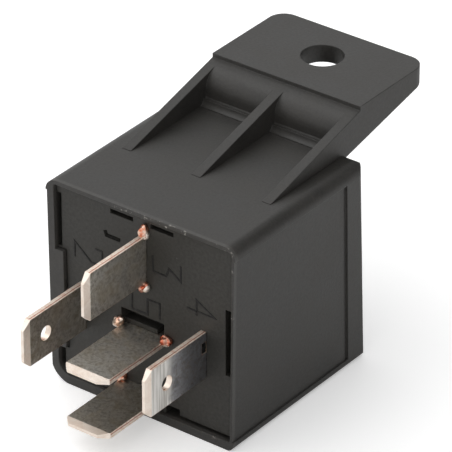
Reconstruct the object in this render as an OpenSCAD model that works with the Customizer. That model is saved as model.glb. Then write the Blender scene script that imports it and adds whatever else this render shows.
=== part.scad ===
// Plug-in automotive relay, five blades, moulded cover with a mounting bracket.
// X runs across the terminal face, Y runs from the terminals towards the closed end, and
// Z runs from the side the relay lies on towards the bracket side.
// The origin is the centre of the base's seating face. Millimetres and degrees throughout.

/* [Cover] */
// Width of the cover at the bracket side
cover_w = 28; // [27:0.5:32]
// Width of the cover at the side opposite the bracket
cover_foot_w = 27.4; // [26.6:0.2:31]
// Height of the cover, from the side it lies on to the bracket side
cover_h = 27.8; // [27:0.2:32]
// Depth of the cover behind the seating face, at the bracket side
cover_d = 25.2; // [24.8:0.2:32]
// Lean of the closed end, so that the cover is deeper at the side it lies on
back_lean = 2.6; // [0:0.2:4]
// Wall thickness of the cover
wall = 1.2; // [1:0.1:1.5]
// Thickness left in the rim beside the base, at the bracket side and on the right
rim_wall = 0.5; // [0.4:0.05:0.8]
// How far the cover's rim stands in front of the seating face
rim_proud = 0.5; // [0.2:0.1:1]
// Radius of the two long edges at the bracket side
bracket_edge_r = 1.6; // [1.3:0.1:2.5]
// Radius of the keying edge, low on the left
key_edge_r = 3; // [1.5:0.25:4]
// Radius of the plain edge, low on the right
plain_edge_r = 1; // [0.6:0.1:2]
// Radius of the edges round the closed end
back_edge_r = 1; // [0.4:0.1:2.4]
// Rounding of the closed end's two side edges
back_side_r = 1.6; // [0.4:0.1:2.4]
// Depth of the shallow label panel in each side
panel_depth = 0.2; // [0.1:0.05:0.4]
// Width of the band left standing behind the label panel
panel_band = 4; // [3:0.2:6]
// Distance of the label panel from the side the relay lies on
panel_foot = 1.3; // [0.8:0.1:3]
// Width of the groove between the label panel and its band
panel_groove_w = 0.4; // [0.2:0.05:0.8]
// Depth of that groove
panel_groove_depth = 0.3; // [0.2:0.05:0.6]

/* [Bracket] */
// Width of the bracket
bracket_w = 22; // [18:0.5:24]
// Height of the bracket's top face above the cover
bracket_rise = 5.1; // [4.6:0.1:7]
// Reach of the bracket past the cover's closed end
bracket_reach = 16.7; // [15:0.1:22]
// Length of the flat tab, from its step to its tip
tab_len = 13.8; // [11:0.2:14]
// Thickness of the tab at its tip
tab_tip_t = 2.25; // [1.6:0.05:3]
// Rise of the tab's underside for each millimetre of reach
underside_slope = 0.205; // [0.15:0.005:0.21]
// Radius of the tab's two free corners
tab_corner_r = 2.2; // [1:0.2:4]
// Depth of the step between the ribs' tops and the tab
tab_step = 0.55; // [0.3:0.05:1]
// Diameter of the mounting hole
mount_hole_d = 5.4; // [4.2:0.1:6.5]
// Distance of the mounting hole's centre from the tab's tip
mount_hole_inset = 6.3; // [5:0.1:7.5]
// Width of each stiffening rib
rib_w = 1.3; // [0.8:0.1:2]
// Rise of the ribs for each millimetre towards the tab
rib_slope = 0.255; // [0.2:0.005:0.3]
// Radius of the bend at the top of the bracket's wall
bracket_bend_r = 2.6; // [1:0.2:3]
// Radius of the fillet at the foot of the bracket's wall
bracket_foot_r = 0.8; // [0.3:0.1:1]
// Distance of the bracket wall's foot in front of the closed end
bracket_foot_inset = 0.7; // [0.4:0.1:1]
// Thickness of the plate between the tab's side gussets
plate_t = 2.35; // [1.8:0.05:2.8]
// Radius of the corner at the root of the hollow under the tab
hollow_r = 1.5; // [0.5:0.1:2]

/* [Terminals] */
// Width of each blade
blade_w = 6.3; // [4.8:0.1:6.8]
// Thickness of each blade
blade_t = 0.8; // [0.6:0.05:1]
// Length of each blade in front of the seating face
blade_len = 11.4; // [9:0.2:14]
// Size of the larger cut corner at each blade's tip
blade_corner = 1.1; // [0.5:0.1:1.8]
// Size of the smaller cut corner at each blade's tip
blade_low_corner = 0.85; // [0.3:0.05:1.4]
// Length of the lead-in bevel at each blade's tip
blade_bevel_len = 1; // [0.5:0.1:1.8]
// Thickness left at the very tip of a blade
blade_tip_t = 0.4; // [0.25:0.05:0.5]
// Distance between the two coil blades
coil_blade_pitch = 18; // [17:0.2:20]
// Height of the coil blades against the seating face's centre
coil_blade_z = -2.2; // [-3:0.1:-1]
// Height of the common blade
common_z = 7.6; // [6.8:0.1:8]
// Height of the normally closed blade
nc_z = -3.05; // [-3.6:0.05:-2.6]
// Height of the normally open blade
no_z = -10.55; // [-10.8:0.05:-10]
// Diameter of the locking hole in each coil blade
lock_hole_d = 1.9; // [1.2:0.1:2.4]
// Distance of the locking hole from the blade's tip
lock_hole_inset = 3.9; // [3:0.1:5]
// Diameter of the staking beads at each blade's root
bead_d = 1.2; // [0.8:0.1:1.5]
// Reach of the staking beads past each blade's edges
bead_reach = 1.05; // [0.7:0.05:1.3]
// Distance of the staking beads' centres from the middle of the blade's thickness
bead_rise = 0.5; // [0:0.05:0.6]
// Width of the staking notch in the root of each coil blade
stake_notch_w = 0.85; // [0.5:0.05:1.2]
// Height of that notch
stake_notch_h = 1.55; // [0.8:0.05:2]

/* [Base] */
// Thickness of the base plate
base_t = 2.4; // [1.8:0.1:3]
// Clearance between the base and the cover's walls
base_clear = 0.1; // [0.05:0.01:0.2]
// Clearance round each blade where it passes through the base
blade_clear = 0.05; // [0.02:0.01:0.1]
// Width of the reliefs on the base's left
relief_w = 0.6; // [0.3:0.05:0.9]
// Distance of the right relief from the side the relay lies on
right_relief_foot = 10; // [8:0.2:14]
// Length of the right relief
right_relief_len = 9; // [6:0.2:11]
// Width of the right relief
right_relief_w = 1; // [0.5:0.05:1.3]
// Height of the relief along the lower edge
foot_relief_h = 0.4; // [0.2:0.05:0.6]
// Width of the notch at that relief's end
notch_w = 2.1; // [1:0.1:2.6]
// Height of the notch
notch_h = 1.2; // [0.7:0.05:1.4]
// Reach of the key rib inside the cover's left wall
key_rib_reach = 1.2; // [0.8:0.1:1.5]
// Length of the key rib along the wall
key_rib_len = 13.4; // [9:0.2:15]
// Distance of the key rib from the side the relay lies on
key_rib_foot = 5; // [3.5:0.1:6.5]
// Width of the snap lug at the bracket side
lug_w = 2.5; // [1.5:0.1:3]
// Length of each slot beside the snap lug
lug_slot_len = 3.4; // [2:0.1:4]
// Height of each slot beside the snap lug
lug_slot_h = 0.6; // [0.4:0.05:1.2]
// Height of the lip above the normally closed blade
lip_h = 0.7; // [0.5:0.05:1]
// Width of that lip, from the blade's left edge
lip_w = 4.9; // [3:0.1:5.4]
// Distance of the lip behind the seating face
lip_inset = 0.65; // [0.3:0.05:1]
// Height of the pocket round the lip, above the blade
pocket_h = 2.4; // [1.4:0.1:2.8]
// Thickness of the base left behind the pocket
pocket_back = 0.4; // [0.3:0.1:1.4]
// Length of the rests that carry the contact strips behind the base
strip_rest_len = 6; // [3:0.2:8]
// Width of the two rests that carry the yoke
yoke_rest_w = 2; // [1:0.1:3]
// Height of the two rests that carry the yoke
yoke_rest_h = 2.8; // [1.5:0.1:4]

/* [Magnet] */
// Thickness of the yoke
yoke_t = 1.5; // [1.2:0.1:1.7]
// Width of the yoke and the armature
yoke_w = 12; // [10:0.5:13]
// Diameter of the core
core_d = 5.4; // [4.5:0.1:6]
// Diameter of the core's pole face
pole_d = 8.4; // [7.4:0.1:9]
// Thickness of the core's pole head
pole_t = 1.2; // [0.8:0.1:1.6]
// Wall thickness of the bobbin's barrel and flanges
bobbin_wall = 0.9; // [0.7:0.05:1.1]
// Clearance between the core and the bobbin
core_clear = 0.1; // [0.05:0.01:0.2]
// Gap between the bobbin's flange and the coil blades' inner posts
flange_gap = 1.4; // [1:0.1:1.8]
// Depth of the winding below the flange's edge
winding_inset = 0.6; // [0.4:0.1:1]
// Thickness of the tape round the winding
tape_t = 0.15; // [0.1:0.05:0.25]
// Diameter of the coil's lead wires
lead_d = 0.3; // [0.2:0.05:0.4]

/* [Armature] */
// Thickness of the armature
armature_t = 1.4; // [1:0.1:1.7]
// Angle the armature stands open at rest
open_angle = 2.5; // [1.5:0.1:3]
// Running gap at the armature's knife edge
hinge_gap = 0.05; // [0.03:0.01:0.1]
// Thickness of the contact spring
leaf_t = 0.25; // [0.15:0.05:0.35]
// Width of the contact spring at the moving contact
leaf_w = 4.4; // [3.6:0.2:5]
// Diameter of the rivets that hold the contact spring
spring_rivet_d = 1.6; // [1.2:0.1:2]
// Distance between those two rivets
spring_rivet_pitch = 3.6; // [2.8:0.1:4.4]
// Diameter of the return spring's coils
return_coil_d = 1.9; // [1.5:0.1:2]
// Diameter of the return spring's wire
return_wire_d = 0.35; // [0.25:0.05:0.4]
// Number of turns of the return spring
return_turns = 10; // [6:1:14]

/* [Contacts] */
// Diameter of the contact faces
contact_d = 3; // [2.4:0.1:3.2]
// Thickness of each contact
contact_t = 0.8; // [0.6:0.05:1]
// Height of the crown on each contact face
contact_crown = 0.15; // [0.1:0.01:0.25]
// Gap left between contacts that rest on each other
contact_rest_gap = 0.03; // [0.02:0.01:0.06]
// Diameter of the braid that carries the current to the moving contact
braid_d = 1.2; // [0.8:0.1:1.4]
// Diameter of the suppression resistor
resistor_d = 1.9; // [1.4:0.1:2]
// Length of the suppression resistor
resistor_len = 6; // [4:0.5:7]

/* [Hidden] */
$fn = 64;
eps = 0.01;

// Cover, seen from the terminals
top_z = cover_h / 2;
foot_z = -cover_h / 2;
half_top = cover_w / 2;
half_foot = cover_foot_w / 2;
back_rate = tan(back_lean);
function back_y(z) = cover_d + (top_z - z) * back_rate;
function side_x(z) = half_foot + (half_top - half_foot) * (z - foot_z) / cover_h;
base_inset = wall + base_clear;
widest = max(half_top, half_foot);

// Bracket
tip_y = cover_d + bracket_reach;
tab_top_z = top_z + bracket_rise;
step_y = tip_y - tab_len;
rib_end_z = tab_top_z - tab_step;
rib_foot_y = step_y - (rib_end_z - top_z) / rib_slope;
mount_y = tip_y - mount_hole_inset;
wall_foot_y = cover_d - bracket_foot_inset;
wall_bulge = 0.55;
wall_bulge_h = 0.9;
wall_face_y = wall_foot_y + wall_bulge;
function underside_z(y) = tab_top_z - tab_tip_t - (tip_y - y) * underside_slope;

// Stack from the seating face to the closed end
terminal_room = 1.8;
yoke_y = base_t + terminal_room;
contact_z = no_z + 1.15;
tab_t = blade_t;
rear_room = 1.5;
head_t = 0.65;
crown_stack = contact_t + contact_crown;
nc_tab_back_y = back_y(contact_z) - wall - rear_room;
nc_face_y = nc_tab_back_y - tab_t - crown_stack;
yoke_top_z = top_z - wall - return_coil_d - 0.3;
hinge_z = yoke_top_z;
open_shift = (hinge_z - contact_z) * sin(open_angle);
moving_back = armature_t + leaf_t + head_t + contact_crown;
armature_y = nc_face_y - contact_rest_gap - open_shift - moving_back * cos(open_angle);
hinge_y = armature_y - hinge_gap;
pole_y = armature_y - 0.02;
no_face_y = armature_y + armature_t - crown_stack - contact_rest_gap;
no_tab_y = no_face_y - crown_stack - tab_t;

// Coil
flange_r = coil_blade_pitch / 2 - blade_t / 2 - flange_gap;
coil_z = yoke_top_z - yoke_t - 0.6 - flange_r;
bobbin_front_y = yoke_y + yoke_t;
bobbin_back_y = pole_y - pole_t;
barrel_r = core_d / 2 + core_clear + bobbin_wall;
winding_r = flange_r - winding_inset;
winding_front_y = bobbin_front_y + bobbin_wall;
winding_back_y = bobbin_back_y - bobbin_wall;

// Normally closed terminal's route to the far side of the moving contact
nc_strip_z = contact_z + 0.9;
nc_strip_x = blade_w / 2 + 0.35;
nc_strip_w = 3;
nc_drop_y = base_t + 0.2;
armature_foot_z = nc_strip_z + tab_t / 2 + 1.5;

// Armature tail and return spring
spring_z = yoke_top_z + 0.15 + return_coil_d / 2;
tail_w = 2.4;
tail_hole_d = return_wire_d + 0.5;
anchor_y = yoke_y + 3.3;
tail_top_z = spring_z + 0.75;

// A convex outline whose corner i is rounded to radius r[i]
function unit(v) = v / norm(v);
function corner_inset(p, a, b, r) =
    let (u = unit(a - p), v = unit(b - p), half = acos(u * v) / 2)
    [p + u * r / tan(half), p + v * r / tan(half), p + unit(u + v) * r / sin(half)];

module round_outline(points, radii) {
    n = len(points);
    corners = [for (i = [0:n - 1])
        corner_inset(points[i], points[(i + n - 1) % n], points[(i + 1) % n], radii[i])];
    polygon([for (c = corners) each [c[0], c[1]]]);
    for (i = [0:n - 1]) translate(corners[i][2]) circle(r = radii[i]);
}

// Stands an XZ outline up along Y, from y0 over a length
module along_y(y0, length) {
    translate([0, y0 + length, 0]) rotate([90, 0, 0]) linear_extrude(length) children();
}

// Stands a YZ outline up along X, from x0 over a length
module along_x(x0, length) {
    translate([x0, 0, 0]) rotate([90, 0, 90]) linear_extrude(length) children();
}

// A box given by its lowest and highest corners
module span(low, high) {
    translate(low) cube(high - low);
}

// A round bar along Y
module bar_y(r, y0, y1, x, z) {
    translate([x, y1, z]) rotate([90, 0, 0]) cylinder(r = r, h = y1 - y0);
}

// A tube of radius r with n sides, swept along a list of points
function tangent(path, i) =
    unit(path[min(i + 1, len(path) - 1)] - path[max(i - 1, 0)]);
function ring(path, i, r, n, up) =
    let (t = tangent(path, i), u = unit(cross(t, up)), v = cross(u, t))
    [for (k = [0:n - 1]) path[i] + r * (cos(360 * k / n) * u + sin(360 * k / n) * v)];

module swept_tube(path, r, n, up) {
    m = len(path);
    points = [for (i = [0:m - 1]) each ring(path, i, r, n, up)];
    sides = [for (i = [0:m - 2], k = [0:n - 1])
        [i * n + k, i * n + (k + 1) % n, (i + 1) * n + (k + 1) % n, (i + 1) * n + k]];
    front = [for (k = [0:n - 1]) n - 1 - k];
    back = [for (k = [0:n - 1]) (m - 1) * n + k];
    polyhedron(points, concat([front], sides, [back]), convexity = 8);
}

// Points along a smooth curve through a few chosen ones
function curve_point(a, b, c, d, t) =
    0.5 * (2 * b + (c - a) * t + (2 * a - 5 * b + 4 * c - d) * t * t
        + (3 * b - a - 3 * c + d) * t * t * t);
function smooth_path(p, steps) =
    let (n = len(p))
    [for (i = [0:n - 2], s = [0:steps - 1])
        curve_point(p[max(i - 1, 0)], p[i], p[i + 1], p[min(i + 2, n - 1)], s / steps),
     p[n - 1]];

// Moves the armature's pieces from closed to their open, resting place
module at_rest() {
    translate([0, hinge_y, hinge_z])
        rotate([open_angle, 0, 0])
            translate([0, -hinge_y, -hinge_z])
                children();
}

// ---------------------------------------------------------------- cover

// The cover's outline at the rim, drawn in X and Z, moved in by one inset at the left and
// low sides and by another at the right and bracket sides
module uneven_outline(inset, far_inset) {
    r = [key_edge_r, plain_edge_r, bracket_edge_r, bracket_edge_r];
    round_outline(
        [[-half_foot + inset, foot_z + inset], [half_foot - far_inset, foot_z + inset],
         [half_top - far_inset, top_z - far_inset], [-half_top + inset, top_z - far_inset]],
        [for (e = r) max(e - inset, 0.3)]);
}

module cover_outline(inset) {
    uneven_outline(inset, inset);
}

// The cover's outline from the side, in Y and Z, with its rounded closed end
module cover_profile(inset, front_y) {
    r = max(back_edge_r - inset, 0.3);
    low = foot_z + inset;
    high = top_z - inset;
    round_outline(
        [[front_y, low], [back_y(low) - inset, low], [back_y(high) - inset, high],
         [front_y, high]],
        [0.05, r, r, 0.05]);
}

// The cover's outline from above, in X and Y, as deep as the deepest wall
module cover_plan(inset, front_y, depth_y) {
    r = max(back_side_r - inset, 0.3);
    x = max(half_top, half_foot) - inset;
    round_outline([[-x, front_y], [x, front_y], [x, depth_y - inset], [-x, depth_y - inset]],
        [0.05, 0.05, r, r]);
}

// A solid the size of the cover, or of the space inside it
module cover_body(inset, front_y) {
    reach = back_y(foot_z) + 1;
    intersection() {
        along_y(front_y, reach - front_y) cover_outline(inset);
        along_x(-cover_w, 2 * cover_w) cover_profile(inset, front_y);
        multmatrix([[1, 0, 0, 0], [0, 1, -back_rate, 0], [0, 0, 1, 0], [0, 0, 0, 1]])
            translate([0, 0, -cover_h])
                linear_extrude(2 * cover_h)
                    cover_plan(inset, front_y - cover_h, back_y(0));
    }
}

// The outer skin of one side wall to a depth, over the height of its label panel
panel_low = foot_z + panel_foot;
panel_high = top_z - bracket_edge_r;
module side_skin(side, depth) {
    mirror([side < 0 ? 1 : 0, 0, 0])
        along_y(-rim_proud - 1, back_y(foot_z) + rim_proud + 1)
            polygon([
                [side_x(panel_low) - depth, panel_low], [side_x(panel_low) + 1, panel_low],
                [side_x(panel_high) + 1, panel_high], [side_x(panel_high) - depth, panel_high]
            ]);
}

// The strip of both side walls from y0 to y1, counted back from the closed end
module side_strip(y0, y1) {
    along_x(-2 * widest, 4 * widest)
        polygon([[back_y(panel_low) - y0, panel_low], [back_y(panel_low) - y1, panel_low],
                 [back_y(panel_high) - y1, panel_high], [back_y(panel_high) - y0, panel_high]]);
}

module label_panel(side) {
    intersection() {
        side_skin(side, panel_depth);
        side_strip(2 * cover_d, panel_band);
    }
}

module panel_groove(side) {
    intersection() {
        side_skin(side, panel_groove_depth);
        side_strip(panel_band + panel_groove_w / 2, panel_band - panel_groove_w / 2);
    }
}

// The fillet between the cover's rounded back edge and the bracket's wall
module foot_fillet() {
    r = bracket_foot_r;
    edge = corner_inset([back_y(top_z), top_z], [back_y(foot_z), foot_z],
        [-rim_proud, top_z], back_edge_r)[2];
    y = wall_foot_y - r;
    past_edge = max(y - edge[0], 0);
    z = edge[1] + sqrt(pow(back_edge_r + r, 2) - pow(past_edge, 2)) - eps;
    touch_y = y - past_edge * r / (back_edge_r + r);
    difference() {
        translate([touch_y, top_z - wall])
            square([wall_foot_y + 0.2 - touch_y, z - top_z + wall]);
        translate([y, z]) circle(r = r);
    }
}

// The bracket between its ribs, seen from the side in Y and Z
module bracket_profile() {
    rib_rate = atan(rib_slope);
    r = bracket_bend_r;
    bend_y = wall_face_y + r;
    bend_z = top_z + rib_slope * (bend_y - rib_foot_y) - r / cos(rib_rate);
    intersection() {
        union() {
            polygon([
                [wall_foot_y, top_z - wall], [wall_foot_y, top_z],
                [wall_face_y, top_z + wall_bulge_h], [wall_face_y, bend_z],
                [bend_y, bend_z],
                [bend_y - r * sin(rib_rate), bend_z + r * cos(rib_rate)],
                [step_y, rib_end_z], [step_y, tab_top_z],
                [tip_y, tab_top_z], [tip_y, top_z - wall]
            ]);
            translate([bend_y, bend_z]) circle(r = r);
            foot_fillet();
        }
        polygon([
            [rib_foot_y, top_z - wall], [wall_foot_y, top_z - wall],
            [wall_foot_y, underside_z(wall_foot_y)], [tip_y, underside_z(tip_y)],
            [tip_y, tab_top_z], [rib_foot_y, tab_top_z]
        ]);
    }
}

module rib_profile() {
    low = top_z - wall;
    polygon([[rib_foot_y, top_z], [rib_foot_y, low], [wall_foot_y, low],
             [step_y + 1, rib_end_z - 2], [step_y + 1, rib_end_z], [step_y, rib_end_z]]);
}

// The hollow under the tab, between its two side gussets
module tab_hollow() {
    half = bracket_w / 2 - rib_w;
    low = top_z - wall;
    high = tab_top_z - plate_t;
    front = wall_face_y + plate_t;
    back = tip_y - rib_w;
    along_x(-half, 2 * half)
        round_outline([[front, low], [back, low], [back, high], [front, high]],
            [0.05, 0.05, 0.05, hollow_r]);
}

// The bracket is moulded in one with the cover and stands on the cover's outer faces
module cover_bracket() {
    half = bracket_w / 2;
    color("#4b4a48")
        difference() {
            union() {
                intersection() {
                    along_x(-half, bracket_w) bracket_profile();
                    linear_extrude(top_z + bracket_rise + 1)
                        round_outline([[-half, 0], [half, 0], [half, tip_y], [-half, tip_y]],
                            [0.05, 0.05, tab_corner_r, tab_corner_r]);
                }
                for (x = [-half, -rib_w / 2, half - rib_w]) along_x(x, rib_w) rib_profile();
            }
            cover_body(0, -rim_proud);
            tab_hollow();
            translate([0, mount_y, 0]) cylinder(d = mount_hole_d, h = 2 * cover_h);
        }
}

// The seat inside the cover's top wall for the base's snap lug
lug_t = 0.9;
lug_y = base_t + 1.2;
lug_hook = 0.5;
lug_hook_len = 1.3;
module lug_seat(clear) {
    z = top_z - wall - eps;
    span([-lug_w / 2 - clear, lug_y - clear, z - 0.3],
         [lug_w / 2 + clear, lug_y + lug_hook_len + 2 * clear, z + lug_hook + clear]);
}

// A rib on the cover's left wall that keys the base
key_low = foot_z + key_rib_foot;
key_high = key_low + key_rib_len;
module key_rib(clear) {
    reach = wall + key_rib_reach + clear;
    along_y(-rim_proud, base_t + 2 + rim_proud)
        polygon([
            [-widest - 1, key_low - clear], [reach - side_x(key_low), key_low - clear],
            [reach - side_x(key_high), key_high + clear], [-widest - 1, key_high + clear]
        ]);
}

module cover() {
    color("#4b4a48")
        difference() {
            cover_body(0, -rim_proud);
            difference() {
                union() {
                    cover_body(wall, -rim_proud - 2);
                    // the rebate that takes the edge of the base
                    along_y(-rim_proud - 1, base_t + base_clear + rim_proud + 1)
                        uneven_outline(wall, rim_wall);
                }
                key_rib(0);
            }
            for (s = [-1, 1]) {
                label_panel(s);
                panel_groove(s);
            }
            lug_seat(0.1);
        }
}

// ---------------------------------------------------------------- base

// The slot that a blade, or a blade lying flat, takes through the base
module blade_slot(x, z, flat) {
    w = (flat ? blade_w : blade_t) / 2 + blade_clear;
    h = (flat ? blade_t : blade_w) / 2 + blade_clear;
    span([x - w, -1, z - h], [x + w, base_t + 1, z + h]);
}

// A relief in one side of the base, from z0 to z1 and to a width at its narrower end
module side_relief(side, z0, z1, width) {
    inset = side < 0 ? base_inset : rim_wall + base_clear;
    x = min(side_x(z0), side_x(z1)) - inset - width;
    span([side < 0 ? -widest : x, -1, z0], [side < 0 ? -x : widest, base_t + 1, z1]);
}

module base_reliefs() {
    rib_gap = 0.4;
    right_foot = foot_z + right_relief_foot;
    side_relief(-1, key_high + rib_gap, top_z - base_inset - rib_gap, relief_w);
    side_relief(-1, foot_z + 2.2, key_low - rib_gap, relief_w);
    side_relief(1, right_foot, right_foot + right_relief_len, right_relief_w);
    // slots either side of the snap lug
    for (x = [-lug_w / 2 - lug_slot_len, lug_w / 2])
        span([x, -1, top_z - wall - lug_slot_h],
             [x + lug_slot_len, base_t + 1, top_z - wall]);
    // relief along the lower edge, with the notch at its end
    x = blade_w / 2 + blade_clear + 0.15;
    low = foot_z + base_inset;
    span([x, -1, foot_z], [widest, base_t + 1, low + foot_relief_h]);
    span([x, -1, foot_z], [x + notch_w, base_t + 1, low + notch_h]);
}

// The pocket over the normally closed blade, with the lip left standing in it
module base_pocket() {
    half = blade_w / 2 + blade_clear;
    low = nc_z;
    blade_top = nc_z + blade_t / 2;
    difference() {
        span([-half, -1, low], [half, base_t - pocket_back, blade_top + pocket_h]);
        span([-half - 1, lip_inset, low - 1], [lip_w - half, base_t, blade_top + lip_h]);
    }
}

module base_plate() {
    difference() {
        along_y(0, base_t) uneven_outline(base_inset, rim_wall + base_clear);
        key_rib(base_clear + 0.05);
        base_reliefs();
        base_pocket();
    }
}

// Bosses and rests behind the plate that carry the yoke and the contact strips
module base_rests() {
    low = foot_z + base_inset;
    high = top_z - base_inset;
    rest_z = yoke_top_z - 0.4;
    for (x = [-0.3, 0.3] * yoke_w)
        span([x - yoke_rest_w / 2, base_t - eps, rest_z - yoke_rest_h],
             [x + yoke_rest_w / 2, yoke_y, rest_z]);
    span([-blade_w / 2, base_t - eps, low],
         [blade_w / 2 - 0.4, base_t + strip_rest_len, no_z - blade_t / 2]);
    span([nc_strip_x + 0.3, base_t - eps, low],
         [nc_strip_x + nc_strip_w - 0.3, base_t + strip_rest_len, nc_strip_z - tab_t / 2]);
    // the snap lug and its hook
    span([-lug_w / 2, base_t - eps, high - lug_t], [lug_w / 2, lug_y + lug_hook_len, high]);
    span([-lug_w / 2, lug_y, high - eps],
         [lug_w / 2, lug_y + lug_hook_len, high + base_clear + lug_hook - 0.1]);
}

module base() {
    color("#3b3a38")
        difference() {
            union() {
                base_plate();
                base_rests();
            }
            blade_slot(0.2, common_z, false);
            blade_slot(-coil_blade_pitch / 2, coil_blade_z, false);
            blade_slot(coil_blade_pitch / 2, coil_blade_z, false);
            blade_slot(0, nc_z, true);
            blade_slot(0, no_z, true);
        }
}

// ---------------------------------------------------------------- terminals

// The two beads of metal that stake a blade in front of the base
module staking_beads(rise) {
    base_gap = 0.05;
    intersection() {
        for (s = [-1, 1])
            translate([rise, -bead_d / 4, s * (blade_w / 2 + bead_reach - bead_d / 2)])
                sphere(d = bead_d);
        span([-blade_w, -blade_w, -blade_w], [blade_w, -base_gap, blade_w]);
    }
}

// A blade on edge: width along Z, thickness along X, tip towards -Y, inner end at y1
module plain_blade(y1) {
    w = blade_w / 2;
    high = blade_corner;
    low = blade_low_corner;
    tip = -blade_len;
    half = blade_t / 2;
    intersection() {
        along_x(-half, blade_t)
            polygon([[tip, low - w], [tip + low, -w], [y1, -w], [y1, w], [tip + high, w],
                     [tip, w - high]]);
        translate([0, 0, -blade_w])
            linear_extrude(2 * blade_w)
                polygon([[-blade_tip_t / 2, tip], [blade_tip_t / 2, tip],
                         [half, tip + blade_bevel_len], [half, y1],
                         [-half, y1], [-half, tip + blade_bevel_len]]);
    }
}

// A blade with its beads towards +X
module blade(y1) {
    plain_blade(y1);
    staking_beads(bead_rise);
}

// The same blade lying flat, with its larger cut corner to the right and its beads on top
module flat_blade(y1) {
    rotate([0, 90, 0]) {
        plain_blade(y1);
        staking_beads(-bead_rise);
    }
}

module terminal_common() {
    color("#8b8680")
        translate([0.2, 0, common_z]) blade(yoke_y);
}

module coil_terminal(side) {
    color("#8b8680")
        translate([side * coil_blade_pitch / 2, 0, coil_blade_z])
            difference() {
                union() {
                    plain_blade(base_t);
                    span([-blade_t / 2, base_t - eps, -1.1], [blade_t / 2, yoke_y + 2.2, 1.1]);
                }
                // the notch for the plastic that is pressed over the root
                translate([0, -stake_notch_w, 0.4])
                    span([-blade_t, 0, 0], [blade_t, stake_notch_w + 0.3, stake_notch_h]);
                translate([-blade_t, -blade_len + lock_hole_inset, 0])
                    rotate([0, 90, 0]) cylinder(d = lock_hole_d, h = 2 * blade_t);
            }
}

module terminal_coil_left() {
    coil_terminal(-1);
}

module terminal_coil_right() {
    coil_terminal(1);
}

module terminal_normally_closed() {
    strip_low = nc_strip_z - tab_t / 2;
    strip_high = nc_strip_z + tab_t / 2;
    far_x = nc_strip_x + nc_strip_w;
    color("#8b8680") {
        translate([0, 0, nc_z]) flat_blade(nc_drop_y + tab_t);
        span([-blade_w / 2, nc_drop_y, strip_low], [blade_w / 2, nc_drop_y + tab_t, nc_z]);
        span([blade_w / 2 - 2, nc_drop_y, strip_low], [far_x, nc_drop_y + tab_t, strip_high + 1]);
        span([nc_strip_x, nc_drop_y, strip_low], [far_x, nc_tab_back_y, strip_high]);
        difference() {
            span([-contact_d / 2 - 0.3, nc_tab_back_y - tab_t, contact_z - contact_d / 2 - 0.2],
                 [far_x, nc_tab_back_y, contact_z + contact_d / 2 + 0.2]);
            bar_y(contact_d / 4, nc_tab_back_y - 2, nc_tab_back_y + 1, 0, contact_z);
        }
    }
}

module terminal_normally_open() {
    half = blade_w / 2 - 0.25;
    color("#8b8680") {
        translate([0, 0, no_z]) flat_blade(base_t);
        span([-half, base_t - eps, no_z - tab_t / 2], [half, no_tab_y + tab_t, no_z + tab_t / 2]);
        difference() {
            span([-half, no_tab_y, no_z - tab_t / 2],
                 [half, no_tab_y + tab_t, contact_z + contact_d / 2 + 0.2]);
            bar_y(contact_d / 4, no_tab_y - 1, no_tab_y + 2, 0, contact_z);
        }
    }
}

// ---------------------------------------------------------------- contacts

// A contact rivet on the axis Y: crowned face at y = 0 towards -Y, shank going to +Y
module contact_rivet(shank_len) {
    r = contact_d / 2;
    crown_r = (r * r + contact_crown * contact_crown) / (2 * contact_crown);
    rotate([-90, 0, 0]) {
        intersection() {
            translate([0, 0, crown_r]) sphere(r = crown_r, $fn = 96);
            cylinder(r = r, h = contact_crown + contact_t);
        }
        cylinder(r = contact_d / 4, h = contact_crown + contact_t + shank_len);
    }
}

module fixed_contact_open() {
    color("#c9c4b8")
        translate([0, no_face_y, contact_z]) mirror([0, 1, 0]) contact_rivet(tab_t);
}

module fixed_contact_closed() {
    color("#c9c4b8")
        translate([0, nc_face_y, contact_z]) contact_rivet(tab_t);
}

// Crowned on both sides, with the leaf held between its two heads
module moving_contact() {
    r = contact_d / 2;
    crown_r = (r * r + contact_crown * contact_crown) / (2 * contact_crown);
    leaf_y = armature_y + armature_t;
    front_y = leaf_y - crown_stack;
    back_y = leaf_y + leaf_t + head_t + contact_crown;
    color("#c9c4b8")
        at_rest()
            translate([0, 0, contact_z]) {
                translate([0, front_y, 0]) contact_rivet(leaf_t);
                intersection() {
                    translate([0, back_y - crown_r, 0]) sphere(r = crown_r, $fn = 96);
                    bar_y(r - 0.1, leaf_y + leaf_t, back_y, 0, 0);
                }
            }
}

// ---------------------------------------------------------------- magnet

module yoke() {
    half = yoke_w / 2;
    low = coil_z - pole_d / 2 - 0.6;
    color("#a4a5a3") {
        difference() {
            span([-half, yoke_y, low], [half, yoke_y + yoke_t, yoke_top_z]);
            bar_y(core_d / 2, yoke_y - 1, yoke_y + yoke_t + 1, 0, coil_z);
        }
        span([-half, yoke_y, yoke_top_z - yoke_t], [half, hinge_y, yoke_top_z]);
        difference() {
            span([-tail_w / 2, anchor_y, yoke_top_z - eps],
                 [tail_w / 2, anchor_y + 0.8, tail_top_z]);
            bar_y(tail_hole_d / 2, anchor_y - 1, anchor_y + 2, 0, spring_z);
        }
    }
}

module core() {
    color("#b3b4b2") {
        bar_y(core_d / 2, yoke_y, bobbin_back_y + eps, 0, coil_z);
        bar_y(pole_d / 2, bobbin_back_y, pole_y, 0, coil_z);
    }
}

module flange(y) {
    r = flange_r;
    along_y(y, bobbin_wall)
        round_outline([[-r, coil_z - r], [r, coil_z - r], [r, coil_z + r], [-r, coil_z + r]],
            [2, 2, 2, 2]);
}

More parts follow.
